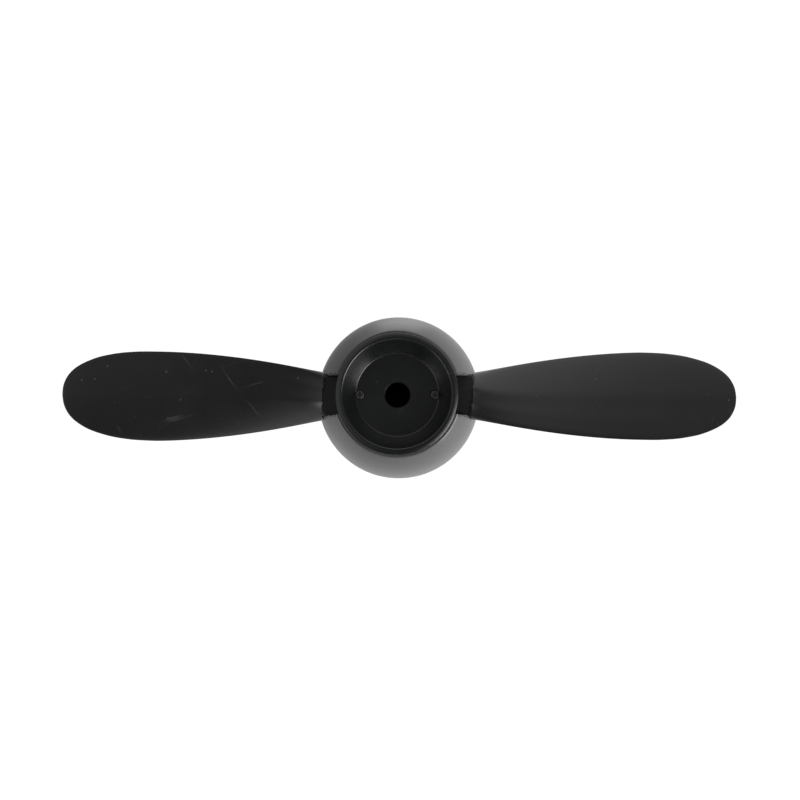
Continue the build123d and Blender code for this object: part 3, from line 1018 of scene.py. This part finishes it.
def add_world():
    """A studio that looks white; it lights the propeller from beyond, from above and from the left."""
    world = bpy.data.worlds.new("White Studio")
    bpy.context.scene.world = world
    world.use_nodes = True
    world.node_tree.nodes.clear()
    graph = Graph(world.node_tree)
    direction = graph.add("ShaderNodeTexCoord").outputs["Generated"]
    parts = graph.add("ShaderNodeSeparateXYZ", {"Vector": direction})
    backdrop = graph.ramp(parts.outputs["Y"], -0.1, 0.4)
    overhead = graph.math("POWER", graph.ramp(parts.outputs["Z"], 0.2, 0.85), 1.2)
    overhead = graph.math("MULTIPLY", overhead, 1.3)
    behind = graph.ramp(parts.outputs["Y"], 0.1, -0.2)
    left = graph.math("MULTIPLY", graph.ramp(parts.outputs["X"], -0.11, -0.24), behind)
    left = graph.math("MULTIPLY", left, graph.ramp(parts.outputs["Z"], -0.6, -0.05))
    left = graph.math("MULTIPLY", left, 0.7)
    light = graph.math("MAXIMUM", graph.math("MAXIMUM", backdrop, overhead), left)
    corner = graph.add("ShaderNodeVectorMath", {0: direction, 1: DIM_CORNER}, operation="DOT_PRODUCT")
    dimming = graph.math("MULTIPLY", graph.ramp(corner.outputs["Value"], 0.75, 0.95), -0.7)
    light = graph.math("MULTIPLY", light, graph.math("ADD", dimming, 1.0))
    strength = graph.multiply_add(light, 0.95, 0.05)
    seen = graph.add("ShaderNodeLightPath").outputs["Is Camera Ray"]
    strength = graph.math("MAXIMUM", strength, graph.math("MULTIPLY", seen, 1.05))
    background = graph.add("ShaderNodeBackground", {"Color": (1, 1, 1, 1), "Strength": strength})
    output = graph.add("ShaderNodeOutputWorld")
    graph.tree.links.new(background.outputs[0], output.inputs["Surface"])


def add_light(name, place, size, watts):
    """A soft square light that looks at the propeller."""
    start_fresh()
    bpy.ops.object.light_add(type="AREA", location=place)
    light = bpy.context.object
    light.name = name
    light.data.size = size
    light.data.energy = watts
    turned_to(light, (0, 0, 0))


def add_lights():
    """Softboxes low on the right, a weak one low on the left, and a faint one above."""
    add_light("key_light", place=(0.52, -0.1, -0.3), size=0.38, watts=4.2)
    add_light("fill_light", place=(-0.52, -0.1, -0.3), size=0.32, watts=1.3)
    add_light("rear_right_light", place=(0.4, -0.38, -0.23), size=0.4, watts=3.0)
    add_light("top_light", place=(0, 0.42, 0.43), size=0.25, watts=0.15)


def turned_to(thing, target):
    """Turns a light or a camera to look at a place, with Z up."""
    away = [t - p for t, p in zip(target, thing.location)]
    level = math.hypot(away[0], away[1])
    thing.rotation_euler = (math.atan2(level, -away[2]), 0, math.atan2(-away[0], away[1]))


def add_camera(stage):
    """The camera, behind the propeller, slightly below its axis and to the right of it."""
    start_fresh()
    level = stage.distance * math.cos(stage.elevation)
    place = (
        LOOK_AT[0] + level * math.sin(stage.azimuth),
        -level * math.cos(stage.azimuth),
        LOOK_AT[2] + stage.distance * math.sin(stage.elevation),
    )
    bpy.ops.object.camera_add(location=place)
    camera = bpy.context.object
    camera.name = "camera"
    turned_to(camera, LOOK_AT)
    camera.data.sensor_width = 36
    camera.data.lens = camera.data.sensor_width * stage.distance / stage.view_width
    camera.data.clip_start = 0.01
    camera.data.dof.use_dof = False
    bpy.context.scene.camera = camera
    bpy.context.scene.view_settings.view_transform = "Standard"


# ---- panel and registration ----
OPERATORS = (
    PROPELLER_OT_materials,
    PROPELLER_OT_blades,
    PROPELLER_OT_hub,
    PROPELLER_OT_spinner,
    PROPELLER_OT_inner_parts,
    PROPELLER_OT_stage,
)


class PROPELLER_PT_sidebar(bpy.types.Panel):
    """Lists the propeller's settings and the steps that model it"""

    bl_label = "Model Propeller"
    bl_idname = "PROPELLER_PT_sidebar"
    bl_space_type = "VIEW_3D"
    bl_region_type = "UI"
    bl_category = "Propeller"

    def draw(self, context):
        for operator in OPERATORS:
            self.layout.operator(operator.bl_idname)
        for group, settings in SETTINGS.items():
            box = self.layout.box()
            box.label(text=settings.__doc__)
            for name in settings.__annotations__:
                box.prop(getattr(context.scene, group), name)


def register():
    """Registers the classes and hangs the settings on the scene."""
    for settings in SETTINGS.values():
        bpy.utils.register_class(settings)
    for group, settings in SETTINGS.items():
        setattr(bpy.types.Scene, group, PointerProperty(type=settings))
    for operator in OPERATORS:
        bpy.utils.register_class(operator)
    bpy.utils.register_class(PROPELLER_PT_sidebar)


def unregister():
    """Takes everything off again."""
    bpy.utils.unregister_class(PROPELLER_PT_sidebar)
    for operator in reversed(OPERATORS):
        bpy.utils.unregister_class(operator)
    for group, settings in SETTINGS.items():
        delattr(bpy.types.Scene, group)
        bpy.utils.unregister_class(settings)


def main():
    """Models every piece and sets up the stage."""
    register()
    bpy.ops.propeller.materials()
    bpy.ops.propeller.blades()
    bpy.ops.propeller.hub()
    bpy.ops.propeller.spinner()
    bpy.ops.propeller.inner_parts()
    bpy.ops.propeller.stage()


if __name__ == "__main__":
    main()
